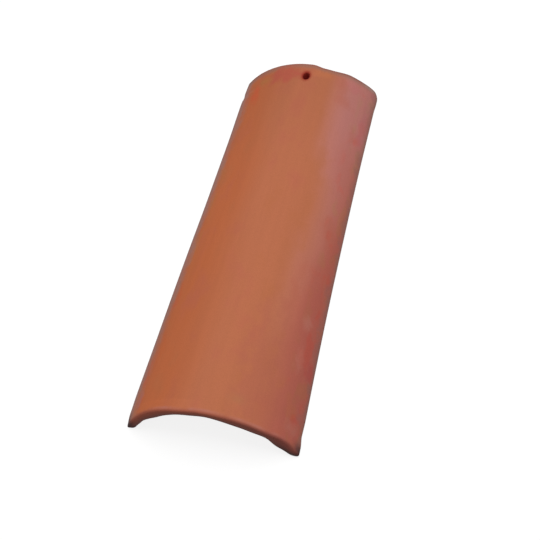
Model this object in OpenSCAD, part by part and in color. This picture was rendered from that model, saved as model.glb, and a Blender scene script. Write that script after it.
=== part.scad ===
// Tapered barrel roof tile, one fired piece of clay, in millimetres.
// It lies on its two long foot faces, crown up. +Y points to the narrow head end, which has the nail hole.
// Each end is an arc that its width and height fix. The barrel through both arcs is cut level at the feet,
// and as its axis dips towards the head, the cut takes more off there and the sides draw in.

/* [Tile] */
// Length along the barrel's axis
tile_length = 500; // [380:5:560]
// Width over the feet at the wide end, before their edges are eased
wide_end_width = 196; // [176:1:216]
// Height of the crown at the wide end
wide_end_height = 67; // [58:0.5:80]
// Width over the feet at the head end, before their edges are eased
head_end_width = 172; // [156:1:182]
// Height of the crown at the head end
head_end_height = 47; // [42:0.5:55]
// Thickness of the clay wall
wall = 12; // [8:0.5:17]

/* [Edges] */
// Rounding of the arrises of both end faces
arris_radius = 2.5; // [0.5:0.25:3.5]
// Rounding of the two corners at the wide end, seen from the side
wide_corner_radius = 4; // [3:0.5:12]
// Rounding of the two corners at the head end, seen from the side
head_corner_radius = 6; // [3:0.5:16]
// Chamfer of the outer long edges of the feet
foot_outer_chamfer = 2; // [1:0.25:3]
// Chamfer of the inner long edges of the feet
foot_inner_chamfer = 6; // [1:0.25:7]

/* [Nail hole] */
// Diameter of the nail hole
nail_hole_diameter = 10; // [4:0.5:14]
// Distance from the head end to the centre of the nail hole
nail_hole_inset = 22.5; // [12:0.5:60]

/* [Hidden] */
$fn = 96;
// Outer radius of the barrel at each end and halfway
wide_radius = arc_radius(wide_end_width, wide_end_height);
head_radius = arc_radius(head_end_width, head_end_height);
middle_radius = (wide_radius + head_radius) / 2;
// How far the barrel's axis lies below the floor at each end and halfway
wide_depth = wide_radius - wide_end_height;
head_depth = head_radius - head_end_height;
middle_depth = (wide_depth + head_depth) / 2;
// Dip of the barrel's axis towards the head end
dip = atan((head_depth - wide_depth) / tile_length);
floor_height = wide_depth * cos(dip);
// Where the floor meets the two end faces, measured along the floor
wide_foot_y = wide_depth * sin(dip);
head_foot_y = tile_length * cos(dip) + head_depth * sin(dip);
end_face_up = [sin(dip), cos(dip)];
// The centre of a rounding lies this share of its radius behind the faces, so it meets them in a clean edge
round_set = 0.94;
// Height over the floor at which the wide end face starts, above its rounded corners
wide_face_low = wide_corner_radius * (round_set - sqrt(1 - pow(round_set, 2)));
// Distance from the axis at which the head end face stops at the crown, below its arris
head_face_high = head_radius - arris_radius * (round_set - sqrt(1 - pow(round_set, 2)));
// Reach of the finished tile along Y: the low edge of one end face, the high edge of the other
y_min = wide_foot_y + wide_face_low * tan(dip);
y_max = tile_length * cos(dip) + head_face_high * sin(dip);
// Cutters reach past the faces that they cut by this much
overcut = 2;
// A block of this size holds the whole barrel
reach = tile_length + wide_radius + head_radius;

// Radius of an arc that is this wide at its foot and this high at its crown
function arc_radius(width, height) = (pow(width / 2, 2) + pow(height, 2)) / (2 * height);
// Half the chord of a circle at a given distance from its centre
function half_chord(radius, distance) = sqrt(pow(radius, 2) - pow(distance, 2));
// Slope of a barrel face where it meets the floor, halfway along the tile
function foot_slope(radius) = acos(middle_depth / radius);

// What rounding takes off a corner at the origin, between edges along the unit vectors a and b
module round_waste(a, b, radius) {
    half_angle = acos(a * b) / 2;
    along = round_set * radius / tan(half_angle);
    centre = (a + b) / norm(a + b) * round_set * radius / sin(half_angle);
    difference() {
        polygon([-overcut * (a + b), along * a - overcut * b, along * a,
            centre, along * b, along * b - overcut * a]);
        translate(centre)
            circle(radius);
    }
}

// What a chamfer takes off such a corner, up to the same length of both edges
module chamfer_waste(a, b, chamfer) {
    across = (a - b) / norm(a - b) * 2 * overcut;
    polygon([-overcut * (a + b), chamfer * a + across, chamfer * b - across]);
}

// Section of the wall along the barrel, with its four arrises rounded
module wall_section() {
    wide_corner = [wide_radius, 0];
    head_corner = [head_radius, tile_length];
    inward = [-wall, 0];
    along = (head_corner - wide_corner) / norm(head_corner - wide_corner);
    difference() {
        polygon([wide_corner + inward, wide_corner, head_corner, head_corner + inward]);
        translate(wide_corner)
            round_waste([-1, 0], along, arris_radius);
        translate(wide_corner + inward)
            round_waste([1, 0], along, arris_radius);
        translate(head_corner)
            round_waste([-1, 0], -along, arris_radius);
        translate(head_corner + inward)
            round_waste([1, 0], -along, arris_radius);
    }
}

// The whole barrel round its axis, drilled for the nail
module barrel() {
    difference() {
        rotate([-90, 0, 0])
            rotate_extrude()
                wall_section();
        translate([0, tile_length - nail_hole_inset, 0])
            cylinder(h = reach, d = nail_hole_diameter);
    }
}

// The barrel with its axis dipped, cut level where it meets the floor
module arch() {
    difference() {
        translate([0, 0, -floor_height])
            rotate([-dip, 0, 0])
                barrel();
        translate([-reach, -reach, -2 * reach])
            cube(2 * reach);
    }
}

// Waste along one foot edge, from x at the wide end to x at the head end
module foot_edge_waste(wide_x, head_x, along_floor, up_wall, chamfer) {
    run = head_foot_y - wide_foot_y;
    translate([wide_x, wide_foot_y, 0])
        rotate([0, 0, atan2(wide_x - head_x, run)])
            rotate([90, 0, 0])
                translate([0, 0, -run - wide_radius])
                    linear_extrude(run + 2 * wide_radius)
                        chamfer_waste(along_floor, up_wall, chamfer);
}

// Waste along both long edges of the foot on the +X side
module foot_waste() {
    outer_slope = foot_slope(middle_radius);
    inner_slope = foot_slope(middle_radius - wall);
    // The outer edge bows out a little, so its cutter runs along the middle of the bow
    bow = half_chord(middle_radius, middle_depth) - (wide_end_width + head_end_width) / 4;
    foot_edge_waste(wide_end_width / 2 + bow, head_end_width / 2 + bow,
        [-1, 0], [-cos(outer_slope), sin(outer_slope)], foot_outer_chamfer);
    foot_edge_waste(half_chord(wide_radius - wall, wide_depth), half_chord(head_radius - wall, head_depth),
        [1, 0], [-cos(inner_slope), sin(inner_slope)], foot_inner_chamfer);
}

// The arch with the long edges of both feet chamfered
module eased_arch() {
    difference() {
        arch();
        for (side = [0, 1])
            mirror([side, 0, 0])
                foot_waste();
    }
}

// Waste across the tile at both ends, which rounds its four lower corners
module corner_waste() {
    rotate([90, 0, 90])
        linear_extrude(2 * reach, center = true) {
            translate([wide_foot_y, 0])
                round_waste([1, 0], end_face_up, wide_corner_radius);
            translate([head_foot_y, 0])
                round_waste([-1, 0], end_face_up, head_corner_radius);
        }
}

// The fired tile, centred along its length
module roof_tile() {
    color("#b0664b")
        translate([0, -(y_min + y_max) / 2, 0])
            difference() {
                eased_arch();
                corner_waste();
            }
}

roof_tile();
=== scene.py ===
import bpy
import numpy as np
from mathutils import Matrix


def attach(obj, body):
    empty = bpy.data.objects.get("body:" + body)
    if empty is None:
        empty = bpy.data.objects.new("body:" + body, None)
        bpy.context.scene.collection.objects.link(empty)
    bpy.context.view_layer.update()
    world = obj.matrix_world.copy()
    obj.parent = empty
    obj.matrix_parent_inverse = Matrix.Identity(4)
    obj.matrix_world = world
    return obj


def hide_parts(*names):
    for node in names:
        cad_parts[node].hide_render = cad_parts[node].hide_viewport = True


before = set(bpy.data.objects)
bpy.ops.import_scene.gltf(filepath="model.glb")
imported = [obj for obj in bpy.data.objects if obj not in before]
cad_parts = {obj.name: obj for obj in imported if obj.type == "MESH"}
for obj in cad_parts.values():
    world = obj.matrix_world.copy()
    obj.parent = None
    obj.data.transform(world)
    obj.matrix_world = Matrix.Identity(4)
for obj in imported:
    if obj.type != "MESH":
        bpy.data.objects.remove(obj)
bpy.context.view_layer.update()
print("packed tile loaded")

millimetre = 0.001  # in metres

# The fired tile in millimetres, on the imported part's own frame: +Y to the head end, feet on z = 0.
# A stretch, here and below, gives where a smooth step starts and where it is whole.
tile = {
    "length": 500.0,
    "wideWidth": 196.0,
    "wideHeight": 67.0,
    "headWidth": 172.0,
    "headHeight": 47.0,
    "wall": 12.0,
    "arris": 2.5,  # rounding of the edges of both end faces
    "wideCorner": (0.8, 2.0),  # rounding of the lower corners seen from the side, left and right
    "headCorner": (3.5, 11.0),
    "floorArris": 0.35,  # share of the arris that is left where an end face meets the floor
    "footOuterRound": 1.5,
    "footInnerRound": 6.0,
    "wideFootOuter": (0.6, 4.0),  # the same roundings at the wide end, left and right
    "wideFootInner": (12.0, 10.0),
    "wideFootStretch": (45.0, 0.0),  # of those, from the wide end
    "leastRound": 0.3,
    "innerShrink": 1.6,  # how much faster than the inset the inner rounding shrinks on an end face
    "middle": 252.257,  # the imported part's middle, measured along Y from the wide end
    "arcSteps": 120,
    "roundSteps": 6,
    "footSteps": 6,
    "faceSteps": 5,
    "faceMiddle": 0.4,  # half the strip that closes an end face along its middle
    "arrisSteps": 7,
    "band": 14.0,  # finer rows from the wide end to here
    "bandSteps": 11,
    "bodySteps": 189,
    "headSteps": 8,
}

# The nail hole, pushed through the soft clay from above, in millimetres
nailHole = {
    "inset": 21.6,  # from the head end
    "halfAcross": 4.05,  # at its neck, where it came out a little oval
    "halfAlong": 5.5,
    "taper": 0.7,  # its share of that size underneath
    "lip": 1.7,  # rounding of its edge on top
    "underLip": 0.6,
    "collar": 0.3,  # clay raised round it
    "collarReach": 1.55,  # as a share of the hole's own size
    "collarSpread": 0.5,
    "patchHalf": 13.0,
    "patchSteps": 12,
    "blendSteps": 6,
    "lipSteps": 6,
    "boreSteps": 7,
}

# Radius of an arc as wide and as high as an end: half the width squared plus the height squared,
# over twice the height
def arcRadius(width, height):
    return (width ** 2 / 4 + height ** 2) / (2 * height)

wideRadius = arcRadius(tile["wideWidth"], tile["wideHeight"])
headRadius = arcRadius(tile["headWidth"], tile["headHeight"])
wideDepth = wideRadius - tile["wideHeight"]
headDepth = headRadius - tile["headHeight"]
dip = np.arctan((headDepth - wideDepth) / tile["length"])
holeCentre = tile["length"] - nailHole["inset"]
# Numbers of a column of the wall outline and of its partner underneath add up to this
columnSum = 2 * tile["arcSteps"] + 2 * tile["roundSteps"] + tile["footSteps"]

# Bell curve, 1 at its centre
def bell(value, centre, spread):
    return np.exp(-((value - centre) / spread) ** 2)

# Sum of bells, each given as amount, centre and spread
def bells(value, rows):
    return sum(amount * bell(value, centre, spread) for amount, centre, spread in rows)

# Smooth step from 0 at start to 1 at end, which may lie on either side of it:
# three times the square of the share of the way, less twice its cube
def ramp(value, start, end):
    part = np.clip((value - start) / (end - start), 0.0, 1.0)
    return part * part * (3 - 2 * part)

# Outer radius of the barrel and depth of its axis below the floor: straight lines from end to end
def barrelAt(s):
    share = s / tile["length"]
    return (wideRadius + (headRadius - wideRadius) * share,
            wideDepth + (headDepth - wideDepth) * share)

# Share of the half width: x over half the chord that the floor cuts from the barrel
def sideShare(x, s):
    radius, depth = barrelAt(s)
    return x / np.sqrt(radius ** 2 - depth ** 2)

# How far the lower corners of one side lift off the floor near each end:
# a quarter circle seen from the side
def cornerLift(s, side):
    wideRound = tile["wideCorner"][side]
    headRound = tile["headCorner"][side]
    wide = np.clip(wideRound - s, 0.0, None)
    head = np.clip(headRound - (tile["length"] - s), 0.0, None)
    wideLift = wideRound - np.sqrt(wideRound ** 2 - wide ** 2)
    headLift = headRound - np.sqrt(headRound ** 2 - head ** 2)
    return wideLift + headLift

# Radius of a foot's rounding: one value along the tile, blended into another towards the wide end
def footRound(s, usual, atWide):
    return usual + ramp(s, *tile["wideFootStretch"]) * (atWide - usual)

# One foot of the wall, from the outer arc over the floor to the inner arc, one row for each s.
# Its roundings touch the floor and one arc, so their centres lie that far from both.
# Gives x and height over the axis, and the angles at which the two arcs end.
def footOutline(s, inset, side):
    s = s[:, None]
    inset = inset[:, None]
    radius, depth = barrelAt(s)
    floor = depth + cornerLift(s, side) + inset * tile["floorArris"]
    outer = radius - inset
    inner = radius - tile["wall"] + inset
    outerRound = footRound(s, tile["footOuterRound"], tile["wideFootOuter"][side])
    innerRound = footRound(s, tile["footInnerRound"], tile["wideFootInner"][side])
    outerRound = np.clip(outerRound - inset, tile["leastRound"], None)
    innerRound = np.clip(innerRound - tile["innerShrink"] * inset, tile["leastRound"], None)
    outerX = np.sqrt((outer - outerRound) ** 2 - (floor + outerRound) ** 2)
    innerX = np.sqrt((inner + innerRound) ** 2 - (floor + innerRound) ** 2)
    outerEnd = np.arctan2(outerX, floor + outerRound)
    innerEnd = np.arctan2(innerX, floor + innerRound)
    turn = np.linspace(0.0, 1.0, tile["roundSteps"] + 1)[None, 1:]
    line = np.linspace(0.0, 1.0, tile["footSteps"] + 1)[None, 1:]
    outerTurn = outerEnd + (np.pi - outerEnd) * turn
    innerTurn = np.pi + innerEnd * turn
    x = np.concatenate([outerX + outerRound * np.sin(outerTurn),
                        outerX + (innerX - outerX) * line,
                        innerX + innerRound * np.sin(innerTurn)], axis=1)
    up = np.concatenate([floor + outerRound + outerRound * np.cos(outerTurn),
                         floor + 0 * line,
                         floor + innerRound + innerRound * np.cos(innerTurn)], axis=1)
    return x, up, outerEnd, innerEnd

# Outline of the wall across the barrel, drawn in by inset all round, one row for each s:
# outer arc from left to right, right foot, inner arc back, left foot
def wallOutline(s, inset):
    leftX, leftUp, leftOuter, leftInner = footOutline(s, inset, 0)
    rightX, rightUp, rightOuter, rightInner = footOutline(s, inset, 1)
    share = np.linspace(0.0, 1.0, tile["arcSteps"] + 1)[None, :]
    outerArc = -leftOuter + (leftOuter + rightOuter) * share
    innerArc = rightInner - (leftInner + rightInner) * share[:, 1:]
    radius = barrelAt(s)[0]
    outer = (radius - inset)[:, None]
    inner = (radius - tile["wall"] + inset)[:, None]
    x = [outer * np.sin(outerArc), rightX, inner * np.sin(innerArc), -leftX[:, -2::-1]]
    up = [outer * np.cos(outerArc), rightUp, inner * np.cos(innerArc), leftUp[:, -2::-1]]
    return np.concatenate(x, axis=1), np.concatenate(up, axis=1)

# Distance from the middle of the nail hole, 1 on its oval edge
def holeReach(x, s):
    return np.hypot(x / nailHole["halfAcross"], (s - holeCentre) / nailHole["halfAlong"])

# What hands, mould and kiln did to this one tile, in millimetres, and in degrees from the crown,
# to the right positive. A bell is amount, centre and spread.
wear = {
    "wideStretch": (70.0, 0.0),  # from the wide end, over which its cut moves the tile
    "wideTrim": 0.03,  # the whole cut lies this much further in
    "wideBells": [(-0.85, -13.0, 8.0), (1.0, -42.0, 12.0)],  # waver of that cut on the top side
    "wideRub": 2.4,  # its top edge is rubbed back on the right
    "wideRubRise": (36.0, 52.0),
    "wideRubFall": (65.0, 54.0),
    "headStretch": (45.0, 2.0),  # from the head end, over which its cut moves the tile
    "headBells": [(1.0, -43.0, 14.0), (0.7, -52.0, 8.0), (-0.6, 48.0, 6.0)],
    "headDip": 3.1,  # the rim runs short right of the crown
    "headDipRise": (2.0, 12.0),
    "headDipFall": (31.0, 17.0),
    "thinAll": 0.6,  # what the wall lacks of its true thickness, seen at the wide end
    "thinLeft": 2.2,
    "thinLeftStretch": (-42.0, -53.0),
    "thinBells": [(1.4, -12.0, 8.0), (1.8, 4.0, 7.0), (1.3, 41.0, 5.0), (-0.8, -57.0, 5.0),
                  (-1.0, -36.0, 6.0), (-1.1, 20.0, 8.0), (-3.0, 54.0, 7.0)],
    "thinStretch": (130.0, 0.0),  # from the wide end
    "thinBeyond": 0.15,  # share of it that is left past that stretch
    "topDrop": 0.2,  # the top side lies this much lower, so that its waves hardly rise past the true barrel
    "slowWaves": {"height": 0.12, "alongShare": 0.45, "seed": 11, "count": 9,
                  "longest": 150.0, "shortest": 55.0},
    "drawnWaves": {"height": 0.0352, "alongShare": 0.06, "seed": 23, "count": 14,
                   "longest": 26.0, "shortest": 7.0},
    "mouldWaves": {"height": 0.56, "alongShare": 0.7, "seed": 37, "count": 12,
                   "longest": 110.0, "shortest": 24.0},
    "wipedRise": 0.15,  # the band beside the wide edge stands a little higher on the left
    "wipedStretch": (15.5, 12.5),
    "wipedAngles": (10.0, -20.0),
    "sideStretch": (0.25, 1.05),  # shares of the half width over which the sides' moves set in
    "rightAll": -0.25,  # moves of the sides, outward positive
    "rightWaist": -3.9,  # the right side draws in halfway along, as the clay sagged in drying
    "rightWide": 1.93,
    "rightWideStretch": (25.0, 8.0),
    "rightHead": 0.6,
    "rightHeadStretch": (30.0, 16.0),
    "leftAll": 0.7,
    "leftWide": -2.6,
    "leftWideStretch": (19.0, -3.0),
    "leftBells": [(-0.4, 305.0, 45.0), (-0.45, 20.0, 11.0)],  # along the tile
    "leftHeadBells": [(1.1, 38.0, 42.0), (-1.0, 27.0, 4.5)],  # from the head end: a swell and a nick
}

# Sum of plane sine waves in random but fixed directions, with lengths between two limits,
# of about the height given
def softWaves(across, along, waves):
    chance = np.random.default_rng(waves["seed"])
    count = waves["count"]
    narrowing = waves["shortest"] / waves["longest"]
    number = 2 * np.pi / (waves["longest"] * narrowing ** chance.random(count))
    heading = chance.random(count) * 2 * np.pi
    phase = chance.random(count) * 2 * np.pi
    angle = (np.multiply.outer(across, number * np.cos(heading))
             + np.multiply.outer(along * waves["alongShare"], number * np.sin(heading)) + phase)
    return np.sin(angle).sum(-1) / np.sqrt(count) * waves["height"]

# Moves points of the true barrel, given as x, distance along the axis and height over the axis.
# Each move is a sum of bells, smooth steps or waves in the angle from the crown and the distance along.
def handMade(x, s, up):
    radius = barrelAt(s)[0]
    fromHead = tile["length"] - s
    angle = np.degrees(np.arctan2(x, up))
    out = np.hypot(x, up)
    skin = np.clip(1 - (radius - out) / tile["wall"], 0.0, 1.0)  # 1 on the top side, 0 underneath
    # wide end: the cut wavers, and its top edge is rubbed back on the right
    rub = ramp(angle, *wear["wideRubRise"]) * ramp(angle, *wear["wideRubFall"])
    wideCut = skin * (bells(angle, wear["wideBells"]) + wear["wideRub"] * rub) + wear["wideTrim"]
    # head end: the rim runs short right of the crown and a little on the left
    dipped = ramp(angle, *wear["headDipRise"]) * ramp(angle, *wear["headDipFall"])
    headCut = bells(angle, wear["headBells"]) + wear["headDip"] * dipped
    move = ramp(s, *wear["wideStretch"]) * wideCut - ramp(fromHead, *wear["headStretch"]) * headCut
    # the wall is thin at the crown and thick on both sides of it, most of all at the wide end
    thin = wear["thinAll"] + wear["thinLeft"] * ramp(angle, *wear["thinLeftStretch"])
    thin = thin + bells(angle, wear["thinBells"])
    fade = wear["thinBeyond"] + (1 - wear["thinBeyond"]) * ramp(s, *wear["thinStretch"])
    shift = (1 - skin) * fade * thin
    # unevenness of the smoothed top, and of the underside as it left the mould
    around = np.radians(angle) * radius
    top = softWaves(around, s, wear["slowWaves"]) + softWaves(around, s, wear["drawnWaves"])
    underneath = softWaves(around, s, wear["mouldWaves"])
    shift = shift + skin * (top - wear["topDrop"]) + (1 - skin) * underneath
    # the wiped band beside the wide edge, and the clay raised round the nail hole
    wiped = ramp(s, *wear["wipedStretch"]) * ramp(angle, *wear["wipedAngles"])
    raised = bell(holeReach(x, s), nailHole["collarReach"], nailHole["collarSpread"])
    shift = shift + skin * (wear["wipedRise"] * wiped + nailHole["collar"] * raised)
    moved = 1 + shift / out
    # sides: the right one is drawn in halfway along, the left one swells and is nicked near the head
    share = s / tile["length"]
    bow = 4 * share * (1 - share)  # 1 halfway along, 0 at both ends
    right = wear["rightAll"] + wear["rightWaist"] * bow
    right = right + wear["rightWide"] * ramp(s, *wear["rightWideStretch"])
    right = right + wear["rightHead"] * ramp(fromHead, *wear["rightHeadStretch"])
    left = wear["leftAll"] + wear["leftWide"] * ramp(s, *wear["leftWideStretch"])
    left = left + bells(s, wear["leftBells"]) + bells(fromHead, wear["leftHeadBells"])
    reach = ramp(np.abs(sideShare(x, s)), *wear["sideStretch"])
    sideways = np.where(x > 0, right, -left) * reach
    return x * moved + sideways, s + move, up * moved

# Barrel points to the tile's frame in metres: the axis dips towards the head,
# and the middle lies at the origin
def toTile(x, s, up):
    y = s * np.cos(dip) + up * np.sin(dip) - tile["middle"]
    z = -s * np.sin(dip) + up * np.cos(dip) - wideDepth * np.cos(dip)
    return np.stack([x, y, np.clip(z, 0.0, None)], axis=-1) * millimetre

# Quads between neighbouring rows of a grid of vertex numbers, closed round from last column to first
def roundQuads(grid):
    loop = np.concatenate([grid, grid[:, :1]], axis=1)
    return np.stack([loop[:-1, :-1], loop[:-1, 1:], loop[1:, 1:], loop[1:, :-1]], axis=-1).reshape(-1, 4)

# Rows of the wall outline along the tile: up the wide face, round its arris, along the wall,
# round the other arris and down the head face.
# Gives distance along the axis and inset for each row, and the first row of the nail hole's patch.
def outlineRows():
    length = tile["length"]
    arris = tile["arris"]
    low = holeCentre - nailHole["patchHalf"]
    high = holeCentre + nailHole["patchHalf"]
    face = np.linspace(tile["wall"] / 2 - tile["faceMiddle"], arris, tile["faceSteps"] + 1)
    turn = np.linspace(0.0, np.pi / 2, tile["arrisSteps"] + 1)[1:]
    endS = np.concatenate([0 * face, arris - arris * np.cos(turn)])
    endInset = np.concatenate([face, arris - arris * np.sin(turn)])
    wallS = np.concatenate([np.linspace(arris, tile["band"], tile["bandSteps"] + 1)[1:],
                            np.linspace(tile["band"], low, tile["bodySteps"] + 1)[1:],
                            np.linspace(low, high, nailHole["patchSteps"] + 1)[1:],
                            np.linspace(high, length - arris, tile["headSteps"] + 1)[1:-1]])
    s = np.concatenate([endS, wallS, length - endS[::-1]])
    inset = np.concatenate([endInset, 0 * wallS, endInset[::-1]])
    return s, inset, int(np.argmin(np.abs(s - low)))

# Quads of the wall without the two square patches that the nail hole takes the place of.
# Gives them, and the points round the patch on top and round the one underneath.
def wallFaces(number, patchRow):
    rows, columns = number.shape
    first = tile["arcSteps"] // 2 - nailHole["patchSteps"] // 2
    last = first + nailHole["patchSteps"]
    lastRow = patchRow + nailHole["patchSteps"]
    row = np.repeat(np.arange(rows - 1), columns)
    column = np.tile(np.arange(columns), rows - 1)
    inRows = (row >= patchRow) & (row < lastRow)
    onTop = (column >= first) & (column < last)
    underneath = (column >= columnSum - last) & (column < columnSum - first)
    quads = roundQuads(number)[~(inRows & (onTop | underneath))]
    step = np.arange(nailHole["patchSteps"])
    edgeRow = np.concatenate([0 * step + patchRow, patchRow + step, 0 * step + lastRow, lastRow - step])
    edgeColumn = np.concatenate([first + step, 0 * step + last, last - step, 0 * step + first])
    return quads, number[edgeRow, edgeColumn], number[edgeRow, columnSum - edgeColumn]

# End faces: a strip of quads between each column and its partner underneath,
# and one many-sided face along each foot
def endFaces(number):
    columns = number.shape[1]
    footMiddle = tile["roundSteps"] + tile["footSteps"] // 2
    footReach = tile["footSteps"] // 2 + 1
    strip = np.arange(footReach - footMiddle, tile["arcSteps"] + footMiddle - footReach)
    cap = np.stack([strip, strip + 1, columnSum - strip - 1, columnSum - strip], axis=1) % columns
    run = np.arange(-footReach, footReach + 1)
    capFeet = np.stack([run - footMiddle, run + tile["arcSteps"] + footMiddle]) % columns
    quads = np.concatenate([number[0][cap[:, ::-1]], number[-1][cap]])
    feet = np.concatenate([number[0][capFeet[:, ::-1]], number[-1][capFeet]])
    return quads, feet

# Rings round the nail hole on one face: some that blend a square patch into an oval,
# and some over its rounded lip. Gives x, distance along the axis, and how deep each ring lies in the bore.
def lipRings(edge, angle, share, lip):
    blend = np.linspace(0.0, 1.0, nailHole["blendSteps"] + 1)[1:, None]
    turn = np.linspace(0.0, np.pi / 2, nailHole["lipSteps"] + 1)[1:, None]
    beyond = np.concatenate([0 * blend + lip, lip * (1 - np.sin(turn))])
    oval = np.concatenate([blend, 0 * turn + 1])
    x = (nailHole["halfAcross"] * share + beyond) * np.cos(angle)
    s = holeCentre + (nailHole["halfAlong"] * share + beyond) * np.sin(angle)
    drop = np.concatenate([0 * blend, lip * (1 - np.cos(turn))])
    return edge[0] * (1 - oval) + x * oval, edge[1] * (1 - oval) + s * oval, drop

# The nail hole from the top patch over its lip, down the bore and out to the patch underneath.
# The rings' heights are the barrel's, and the bore is straight lines between its two necks.
def holeRings(edgeTop, edgeUnder):
    angle = np.arctan2(edgeTop[1] - holeCentre, edgeTop[0])
    topX, topS, topDrop = lipRings(edgeTop, angle, 1.0, nailHole["lip"])
    underX, underS, underDrop = lipRings(edgeUnder, angle, nailHole["taper"], nailHole["underLip"])
    topUp = np.sqrt(barrelAt(topS)[0] ** 2 - topX ** 2) - topDrop
    underUp = np.sqrt((barrelAt(underS)[0] - tile["wall"]) ** 2 - underX ** 2) + underDrop
    top = np.stack([topX, topS, topUp])
    under = np.stack([underX, underS, underUp])
    down = np.linspace(0.0, 1.0, nailHole["boreSteps"] + 1)[1:-1, None]
    bore = top[:, -1:] * (1 - down) + under[:, -1:] * down
    return np.concatenate([top, bore, under[:, ::-1]], axis=1)

# Where the tints that follow the form start and where they are whole, in millimetres.
# Depths are below the top side, and heights are over the floor.
shade = {
    "endFace": (5.2, 0.1),  # from the nearer end
    "rimWidth": 11.0,  # band of painted shade along the head end
    "rimExtra": 5.0,  # it is this much wider on the left
    "rimExtraAcross": (-25.0, -60.0),
    "rimShare": (1.0, 0.2),
    "underDepth": (5.0, 12.0),
    "deepDepth": (2.5, 9.0),
    "footHeight": (8.0, 1.0),
    "lowHeight": (13.0, 2.0),
    "shadowLeftHeight": (24.0, 6.0),  # painted shadow on the end faces, outside on the left and inside on the right
    "shadowRightHeight": (32.0, 6.0),
    "tipAlong": (16.0, 3.0),  # painted shadow at the wide end's feet, from the wide end
    "tipHeight": (20.0, 5.0),
    "boreReach": (2.1, 0.7),  # painted shade in and round the nail hole, as shares of the hole's size
    "rubbedBell": (3.8, 1.6),  # middle and spread of the worn edge, from the wide end
    "rubbedLeft": (-75.0, -40.0),  # across
    "rubbedRight": (90.0, 70.0),
}

# Tints that follow the form, one value for each point: smooth steps in the distance from an end,
# below the top side or over the floor, and products of them
def formTints(x, s, up):
    radius, depth = barrelAt(s)
    fromHead = tile["length"] - s
    below = radius - np.hypot(x, up)
    height = up - depth
    rimWidth = shade["rimWidth"] + shade["rimExtra"] * ramp(x, *shade["rimExtraAcross"])
    under = ramp(below, *shade["underDepth"])
    deep = ramp(below, *shade["deepDepth"])
    # painted shadow low on the end faces
    shadowLeft = (1 - deep) * ramp(height, *shade["shadowLeftHeight"])
    shadowRight = deep * ramp(height, *shade["shadowRightHeight"])
    worn = ramp(x, *shade["rubbedLeft"]) * ramp(x, *shade["rubbedRight"])
    return {
        "endFace": ramp(np.minimum(s, fromHead), *shade["endFace"]),
        "headRimShade": ramp(fromHead / rimWidth, *shade["rimShare"]),
        "under": under,
        "foot": ramp(height, *shade["footHeight"]),
        "low": np.maximum(ramp(height, *shade["lowHeight"]), np.where(x < 0, shadowLeft, shadowRight)),
        "tip": ramp(s, *shade["tipAlong"]) * ramp(height, *shade["tipHeight"]),
        "side": sideShare(x, s),
        "bore": ramp(holeReach(x, s), *shade["boreReach"]),
        "rubbed": bell(s, *shade["rubbedBell"]) * (1 - under) * worn,
        "deep": deep,
    }

# The whole tile as one closed mesh: the wall outline carried along the tile, the nail hole, the end faces
def buildTile():
    rowS, rowInset, patchRow = outlineRows()
    x, up = wallOutline(rowS, rowInset)
    s = np.broadcast_to(rowS[:, None], x.shape)
    wall = np.stack([x.ravel(), s.ravel(), up.ravel()])
    number = np.arange(x.size).reshape(x.shape)
    wallQuads, topEdge, underEdge = wallFaces(number, patchRow)
    rings = holeRings(wall[:, topEdge], wall[:, underEdge])
    ringNumber = x.size + np.arange(rings[0].size).reshape(rings[0].shape)
    holeQuads = roundQuads(np.concatenate([topEdge[None], ringNumber, underEdge[None]]))
    capQuads, feet = endFaces(number)
    quads = np.concatenate([wallQuads, holeQuads, capQuads])
    barrel = np.concatenate([wall, rings.reshape(3, -1)], axis=1)
    points = toTile(*handMade(*barrel))
    # points that no face uses, inside the patches, are left out
    used = np.unique(np.concatenate([quads.ravel(), feet.ravel()]))
    order = np.full(len(points), -1)
    order[used] = np.arange(len(used))
    faces = order[quads].tolist() + order[feet].tolist()
    mesh = bpy.data.meshes.new("firedTile")
    mesh.from_pydata(points[used].tolist(), [], faces)
    mesh.polygons.foreach_set("use_smooth", np.ones(len(faces), dtype=bool))
    for name, values in formTints(*barrel).items():
        layer = mesh.attributes.new(name, "FLOAT", "POINT")
        layer.data.foreach_set("value", values[used].astype(np.float32))
    mesh.update()
    piece = bpy.data.objects.new("firedTile", mesh)
    bpy.context.scene.collection.objects.link(piece)
    print("tile mesh:", len(used), "points,", len(faces), "faces")
    return piece

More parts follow.
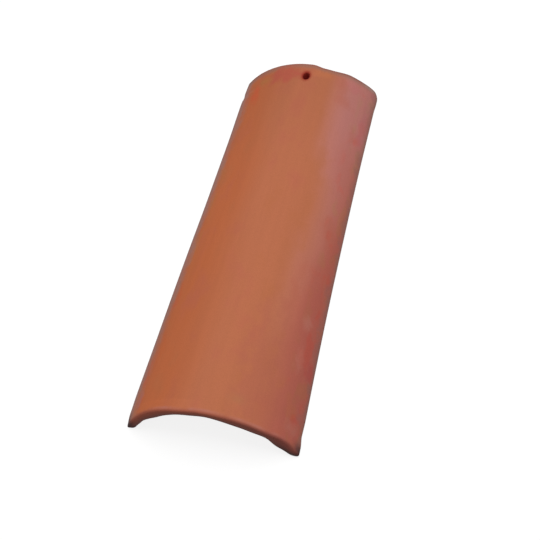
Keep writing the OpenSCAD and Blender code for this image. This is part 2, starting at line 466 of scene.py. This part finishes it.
# Small helpers for node trees
class NodeMaker:
    def __init__(self, tree):
        self.tree = tree
        self.tree.nodes.clear()

    # A node with its settings, and with a link or a value for each input named
    def add(self, kind, settings=None, inputs=None):
        node = self.tree.nodes.new(kind)
        for key, value in (settings or {}).items():
            setattr(node, key, value)
        for key, value in (inputs or {}).items():
            if isinstance(value, bpy.types.NodeSocket):
                self.tree.links.new(value, node.inputs[key])
            else:
                node.inputs[key].default_value = value
        return node

    def maths(self, operation, first, second=0.0):
        return self.add("ShaderNodeMath", {"operation": operation}, {0: first, 1: second}).outputs[0]

    def times(self, first, second):
        return self.maths("MULTIPLY", first, second)

    # Smooth step of a value between two limits, from 0 to 1 or between two given values
    def step(self, value, low, high, start=0.0, end=1.0):
        node = self.add("ShaderNodeMapRange", {"interpolation_type": "SMOOTHSTEP"},
                        {"Value": value, "From Min": low, "From Max": high, "To Min": start, "To Max": end})
        return node.outputs["Result"]

    def noise(self, place, stretch, detail, roughness):
        spread = self.add("ShaderNodeMapping", None, {"Vector": place, "Scale": stretch})
        node = self.add("ShaderNodeTexNoise", None, {"Vector": spread.outputs[0], "Scale": 1.0,
                                                     "Detail": detail, "Roughness": roughness})
        return node.outputs["Fac"]

    def blend(self, share, first, second, mode="MIX"):
        node = self.add("ShaderNodeMix", {"data_type": "RGBA", "blend_type": mode, "clamp_factor": True},
                        {0: share, 6: first, 7: second})
        return node.outputs[2]

    def grey(self, level):
        return self.add("ShaderNodeCombineColor", None, {0: level, 1: level, 2: level}).outputs[0]

    # Distance from the middle of an oval on the tile, seen from above, 1 on its edge
    def ovalReach(self, place, middle, size):
        near = self.add("ShaderNodeMapping", None,
                        {"Vector": place, "Location": (-middle[0] / size[0], -middle[1] / size[1], 0.0),
                         "Scale": (1 / size[0], 1 / size[1], 0.0)})
        away = self.add("ShaderNodeVectorMath", {"operation": "LENGTH"}, {0: near.outputs[0]})
        return away.outputs["Value"]

    def tint(self, name):
        return self.add("ShaderNodeAttribute", {"attribute_name": name}).outputs["Fac"]

# Fired clay
clay = {
    "roughness": 0.86,
    "shine": 0.25,
    "grainBump": 0.25,
    "grainDepth": 0.0006,  # metres
    # linear colours, and ember and ochre as factors
    "tones": {
        "crown": (0.468, 0.145, 0.067, 1.0),
        "flank": (0.505, 0.132, 0.046, 1.0),  # left side
        "paintedSheen": (0.512, 0.195, 0.168, 1.0),  # painted sheen on the right shoulder, towards the head
        "heel": (0.435, 0.110, 0.078, 1.0),  # low on the right side
        "leftEdgeShade": (0.378, 0.189, 0.155, 1.0),  # greyish painted shade along the left edge
        "rightEdgeShade": (0.270, 0.125, 0.105, 1.0),  # painted shade along the right edge
        "red": (0.460, 0.120, 0.072, 1.0),
        "brown": (0.445, 0.138, 0.054, 1.0),
        "ember": (1.06, 0.86, 0.84, 1.0),  # mottling beside the long edges
        "ochre": (0.95, 1.08, 0.92, 1.0),
        # painted shade along the head end's rim
        "headRimShade": (0.275, 0.138, 0.106, 1.0),
        "foot": (0.250, 0.120, 0.100, 1.0),
        "tip": (0.045, 0.018, 0.018, 1.0),  # painted shadow on both feet at the wide end, and on the end faces low down
        "inside": (0.430, 0.125, 0.070, 1.0),
        "endFace": (0.310, 0.080, 0.050, 1.0),
        "endShade": (0.225, 0.060, 0.045, 1.0),  # right half of the end faces
        "endDeep": (0.178, 0.070, 0.061, 1.0),  # painted shade towards their inner edge
        "rubbed": (0.470, 0.175, 0.140, 1.0),  # worn top edge of the wide end
        # painted shade in the nail hole and round its edge
        "bore": (0.250, 0.008, 0.004, 1.0),
    },
    # stretch across, along and up, in waves a metre, then detail and roughness
    "noises": {
        "cloud": ((9.0, 5.0, 9.0), 3.0, 0.5),
        "patch": ((30.0, 18.0, 30.0), 3.0, 0.5),
        "streak": ((90.0, 4.0, 90.0), 4.0, 0.6),  # from smoothing along the tile
        "mottle": ((55.0, 30.0, 55.0), 2.0, 0.5),
        "ragged": ((70.0, 50.0, 70.0), 3.0, 0.6),  # outlines of marks and of the painted shade along the edges
        "grain": ((900.0, 900.0, 900.0), 4.0, 0.65),
        "drag": ((420.0, 14.0, 420.0), 3.0, 0.6),
    },
    # smooth steps: from and to, then the values there where they aren't 0 and 1
    "steps": {
        "waver": (0.3, 0.7, -0.009, 0.009),  # of cloud, metres that it shifts the drift of colour
        "crown": (-0.064, -0.003),  # of the drift, in metres across
        "paintedSheen": (0.034, 0.070),
        "paintedSheenAlong": (-0.24, 0.20),  # metres along the tile from its middle
        "heel": (0.050, 0.088),
        "heelAlong": (0.05, 0.19, 1.0, 0.2),
        "red": (0.52, 0.72, 0.0, 0.45),  # of patch
        "brown": (0.46, 0.28, 0.0, 0.45),
        "beside": (0.70, 0.86),  # shares of the half width
        "ember": (0.53, 0.66),  # of mottle
        "ochre": (0.47, 0.34),
        "streakLight": (0.25, 0.75, 0.975, 1.025),
        "headPaintedShade": (0.06, 0.24, 1.0, 0.91),  # painted shade towards the head end, metres along
        "flankPaintedLight": (-0.072, -0.045, 1.04, 0.965),  # painted light at the far left and painted shade beside it, metres across
        # painted light right of the crown
        "crownPaintedLight": (-0.030, 0.0, 1.0, 1.03),
        "wipedAlong": (-0.2335, -0.2365),
        "wipedAcross": (0.02, -0.03),
        "wipedLight": (0.0, 1.0, 1.0, 1.045),
        "ragged": (0.3, 0.7, -0.3, 0.3),
        "leftEdgeShade": (-0.78, -0.95, 0.0, 0.9),  # shares of the half width
        "rightEdgeShade": (0.92, 1.0, 0.0, 0.55),
        "top": (0.5, 0.0),  # of under
        "mark": (1.0, 0.2),  # shares of a mark's size
        "endShade": (0.05, 0.60),
        "grainLight": (0.3, 0.7, 0.95, 1.05),
    },
    # how much of each layer shows
    "shares": {
        "raggedEdge": 0.12,
        "headRimShade": 0.8,
        "foot": 0.7,
        "tip": 0.9,
        "inside": 0.6,
        "endFace": 0.9,
        "rubbed": 0.3,
        "grain": 0.6,
        "drag": 0.4,
    },
}

# Marks on the top side, most of them left by firing and handling, with painted shade at the head's right
# corner and a painted sheen along the right shoulder: middle and half size in metres, colour, strength
marks = [
    ((-0.030, 0.232), (0.038, 0.018), (0.425, 0.086, 0.054, 1.0), 0.85),  # red cloud by the nail hole
    ((-0.064, 0.207), (0.009, 0.026), (0.540, 0.098, 0.036, 1.0), 0.8),
    ((-0.054, 0.228), (0.012, 0.012), (0.400, 0.150, 0.045, 1.0), 0.7),
    ((0.020, 0.236), (0.016, 0.010), (0.500, 0.155, 0.062, 1.0), 0.5),
    ((0.062, 0.233), (0.014, 0.012), (0.480, 0.140, 0.135, 1.0), 0.4),
    ((0.072, 0.250), (0.018, 0.007), (0.380, 0.260, 0.220, 1.0), 0.8),  # dust on the rim
    # painted shade at the head's right corner
    ((0.084, 0.237), (0.007, 0.010), (0.250, 0.105, 0.100, 1.0), 0.5),
    ((0.076, -0.104), (0.006, 0.018), (0.480, 0.190, 0.140, 1.0), 0.4),  # pale scuffs low on the right
    ((0.077, -0.147), (0.006, 0.022), (0.480, 0.180, 0.130, 1.0), 0.35),
    ((0.088, -0.158), (0.005, 0.016), (0.420, 0.076, 0.064, 1.0), 0.6),
    ((-0.074, 0.136), (0.006, 0.018), (0.500, 0.120, 0.042, 1.0), 0.5),  # orange along the left side
    ((-0.074, -0.176), (0.007, 0.028), (0.560, 0.132, 0.040, 1.0), 0.6),
    ((0.034, -0.224), (0.013, 0.010), (0.400, 0.155, 0.070, 1.0), 0.5),  # brown by the wide edge
    ((0.084, -0.228), (0.008, 0.012), (0.450, 0.155, 0.110, 1.0), 0.5),
    ((0.079, 0.190), (0.008, 0.060), (0.430, 0.140, 0.145, 1.0), 0.5),  # painted sheen along the right shoulder, mauve
    ((-0.083, -0.228), (0.008, 0.016), (0.450, 0.150, 0.125, 1.0), 0.6),
    ((0.045, -0.180), (0.026, 0.110), (0.425, 0.118, 0.072, 1.0), 0.5),  # dull red right of the crown
]

# The clay's colour is laid on in layers, each blended by a smooth step of a place, a noise or a tint
def makeClay():
    tones = clay["tones"]
    steps = clay["steps"]
    shares = clay["shares"]
    material = bpy.data.materials.new("firedClay")
    material.use_nodes = True
    make = NodeMaker(material.node_tree)
    place = make.add("ShaderNodeTexCoord").outputs["Object"]
    axes = make.add("ShaderNodeSeparateXYZ", None, {0: place})
    across = axes.outputs[0]
    along = axes.outputs[1]
    side = make.tint("side")
    noises = {name: make.noise(place, *values) for name, values in clay["noises"].items()}
    # the kiln's drift of colour from the left side over the crown, then a painted sheen on the right
    # shoulder towards the head, and the tone low on the right side
    drift = make.maths("ADD", across, make.step(noises["cloud"], *steps["waver"]))
    colour = make.blend(make.step(drift, *steps["crown"]), tones["flank"], tones["crown"])
    for name in ("paintedSheen", "heel"):
        share = make.times(make.step(drift, *steps[name]), make.step(along, *steps[name + "Along"]))
        colour = make.blend(share, colour, tones[name])
    # clouds of redder and browner clay, and mottling beside the long edges
    for name in ("red", "brown"):
        colour = make.blend(make.step(noises["patch"], *steps[name]), colour, tones[name])
    beside = make.step(make.maths("ABSOLUTE", side), *steps["beside"])
    for name in ("ember", "ochre"):
        share = make.times(make.step(noises["mottle"], *steps[name]), beside)
        colour = make.blend(share, colour, tones[name], "MULTIPLY")
    # faint lengthwise streaks, painted shade towards the head end, painted light and shade across the top
    # left of the crown, and the wiped band beside the wide edge
    light = make.step(noises["streak"], *steps["streakLight"])
    light = make.times(light, make.step(along, *steps["headPaintedShade"]))
    light = make.times(light, make.step(across, *steps["flankPaintedLight"]))
    light = make.times(light, make.step(across, *steps["crownPaintedLight"]))
    wiped = make.times(make.step(along, *steps["wipedAlong"]), make.step(across, *steps["wipedAcross"]))
    light = make.times(light, make.step(wiped, *steps["wipedLight"]))
    colour = make.blend(1.0, colour, make.grey(light), "MULTIPLY")
    # painted shade along the sides and along the head end
    ragged = make.step(noises["ragged"], *steps["ragged"])
    edge = make.maths("ADD", side, make.times(ragged, shares["raggedEdge"]))
    for name in ("leftEdgeShade", "rightEdgeShade"):
        colour = make.blend(make.step(edge, *steps[name]), colour, tones[name])
    colour = make.blend(make.times(make.tint("headRimShade"), shares["headRimShade"]), colour, tones["headRimShade"])
    # marks on the top side, with ragged outlines
    under = make.tint("under")
    top = make.step(under, *steps["top"])
    for middle, size, tone, strength in marks:
        reach = make.maths("ADD", make.ovalReach(place, middle, size), ragged)
        share = make.times(make.step(reach, *steps["mark"]), strength)
        colour = make.blend(make.times(share, top), colour, tone)
    # feet, underside, end faces and bore
    # the tip tint is painted shadow at the feet of the wide end
    for name in ("foot", "tip"):
        colour = make.blend(make.times(make.tint(name), shares[name]), colour, tones[name])
    colour = make.blend(make.times(under, shares["inside"]), colour, tones["inside"])
    ends = make.blend(make.step(side, *steps["endShade"]), tones["endFace"], tones["endShade"])
    # painted shade towards the end faces' inner edge
    ends = make.blend(make.tint("deep"), ends, tones["endDeep"])
    # painted shadow low on the end faces
    ends = make.blend(make.tint("low"), ends, tones["tip"])
    colour = make.blend(make.times(make.tint("endFace"), shares["endFace"]), colour, ends)
    share = make.times(make.tint("rubbed"), make.maths("ADD", ragged, shares["rubbed"]))
    colour = make.blend(share, colour, tones["rubbed"])
    # painted shade in and round the nail hole
    colour = make.blend(make.tint("bore"), colour, tones["bore"])
    # grain of the fired clay, and fine scratches along it
    grainLight = make.grey(make.step(noises["grain"], *steps["grainLight"]))
    colour = make.blend(1.0, colour, grainLight, "MULTIPLY")
    relief = make.maths("ADD", make.times(noises["grain"], shares["grain"]),
                        make.times(noises["drag"], shares["drag"]))
    bump = make.add("ShaderNodeBump", None,
                    {"Strength": clay["grainBump"], "Distance": clay["grainDepth"], "Height": relief})
    shader = make.add("ShaderNodeBsdfPrincipled", None,
                      {"Base Color": colour, "Roughness": clay["roughness"],
                       "Specular IOR Level": clay["shine"], "Normal": bump.outputs[0]})
    make.add("ShaderNodeOutputMaterial", None, {"Surface": shader.outputs[0]})
    return material

# Floor and light, in metres and watts. The floor glows white to the camera and takes a faint shadow
# from what it reflects, and is plain pale to the light that it throws back at the tile.
studio = {
    "white": (1.0, 1.0, 1.0, 1.0),
    "floorSize": 8.0,
    "floorGlow": 0.84,
    "floorShadow": (0.21, 0.21, 0.21, 1.0),
    "floorBounce": (0.30, 0.29, 0.28, 1.0),
    "worldSeen": 1.0,
    "worldLevel": 0.42,
    "topPower": 37.0,
    "topPlace": (0.3, 0.35, 2.3),
    "topAim": (0.0, 0.0, 0.03),  # just over the floor
    "topUp": (0.0, 1.0, 0.01),  # the way its upper edge points
    "topSize": 1.8,
}

# 1 for what the camera sees, straight, in a reflection or through glass
def seenRay(make):
    path = make.add("ShaderNodeLightPath")
    seen = make.maths("MAXIMUM", path.outputs["Is Camera Ray"], path.outputs["Is Glossy Ray"])
    return make.maths("MAXIMUM", seen, path.outputs["Is Transmission Ray"])

# One square on z = 0, clear from below
def makeFloor():
    half = studio["floorSize"] / 2
    corners = [(-half, -half, 0), (half, -half, 0), (half, half, 0), (-half, half, 0)]
    mesh = bpy.data.meshes.new("studioFloor")
    mesh.from_pydata(corners, [], [(0, 1, 2, 3)])
    floor = bpy.data.objects.new("studioFloor", mesh)
    bpy.context.scene.collection.objects.link(floor)
    material = bpy.data.materials.new("paleFloor")
    material.use_nodes = True
    make = NodeMaker(material.node_tree)
    glow = make.add("ShaderNodeEmission", None, {"Color": studio["white"], "Strength": studio["floorGlow"]})
    lit = make.add("ShaderNodeBsdfDiffuse", None, {"Color": studio["floorShadow"]})
    shown = make.add("ShaderNodeAddShader", None, {0: glow.outputs[0], 1: lit.outputs[0]})
    plain = make.add("ShaderNodeBsdfDiffuse", None, {"Color": studio["floorBounce"]})
    seen = seenRay(make)
    above = make.add("ShaderNodeMixShader", None, {0: seen, 1: plain.outputs[0], 2: shown.outputs[0]})
    clear = make.add("ShaderNodeBsdfTransparent")
    behind = make.add("ShaderNodeNewGeometry").outputs["Backfacing"]
    both = make.add("ShaderNodeMixShader", None, {0: behind, 1: above.outputs[0], 2: clear.outputs[0]})
    make.add("ShaderNodeOutputMaterial", None, {"Surface": both.outputs[0]})
    mesh.materials.append(material)

# White where the camera sees it, and a softer light on the tile
def makeWorld():
    world = bpy.data.worlds.new("studioWorld")
    bpy.context.scene.world = world
    world.use_nodes = True
    make = NodeMaker(world.node_tree)
    white = studio["white"]
    bright = make.add("ShaderNodeBackground", None, {"Color": white, "Strength": studio["worldSeen"]})
    soft = make.add("ShaderNodeBackground", None, {"Color": white, "Strength": studio["worldLevel"]})
    seen = seenRay(make)
    mixed = make.add("ShaderNodeMixShader", None, {0: seen, 1: soft.outputs[0], 2: bright.outputs[0]})
    make.add("ShaderNodeOutputWorld", None, {"Surface": mixed.outputs[0]})

# A square soft lamp high over the tile, turned so that it faces its aim
def makeLamp():
    lamp = bpy.data.lights.new("topLamp", "AREA")
    lamp.energy = studio["topPower"]
    lamp.size = studio["topSize"]
    away = np.array(studio["topPlace"]) - np.array(studio["topAim"])
    back = away / np.linalg.norm(away)
    right = np.cross(studio["topUp"], back)
    right = right / np.linalg.norm(right)
    turned = np.column_stack([right, np.cross(back, right), back])
    piece = bpy.data.objects.new("topLamp", lamp)
    piece.matrix_world = Matrix.Translation(studio["topPlace"]) @ Matrix(turned.tolist()).to_4x4()
    bpy.context.scene.collection.objects.link(piece)

# Camera of the photograph, in metres and degrees
camera = {
    "place": (0.332389, -0.692605, 1.101109),
    "azimuth": 25.8623,  # how far it is turned to the left from looking along +Y
    "elevation": 56.1592,  # how steeply it looks down
    "roll": -14.2786,
    "lens": 76.037,  # millimetres, and so is the sensor
    "sensor": 36.0,
}

# The camera is rolled, then tipped up from looking straight down, then turned round Z
def makeCamera():
    data = bpy.data.cameras.new("photoCamera")
    data.lens = camera["lens"]
    data.sensor_width = camera["sensor"]
    turned = Matrix.Rotation(np.radians(camera["azimuth"]), 4, "Z")
    tipped = Matrix.Rotation(np.radians(90.0 - camera["elevation"]), 4, "X")
    rolled = Matrix.Rotation(np.radians(camera["roll"]), 4, "Z")
    piece = bpy.data.objects.new("photoCamera", data)
    piece.matrix_world = Matrix.Translation(camera["place"]) @ turned @ tipped @ rolled
    bpy.context.scene.collection.objects.link(piece)
    bpy.context.scene.camera = piece

makeCamera()
makeWorld()
makeLamp()
makeFloor()
bpy.context.scene.view_settings.view_transform = "Standard"
print("studio ready")

firedTile = buildTile()
firedTile.data.materials.append(makeClay())
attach(firedTile, "root")
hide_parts("roof_tile")
print("tile dressed")
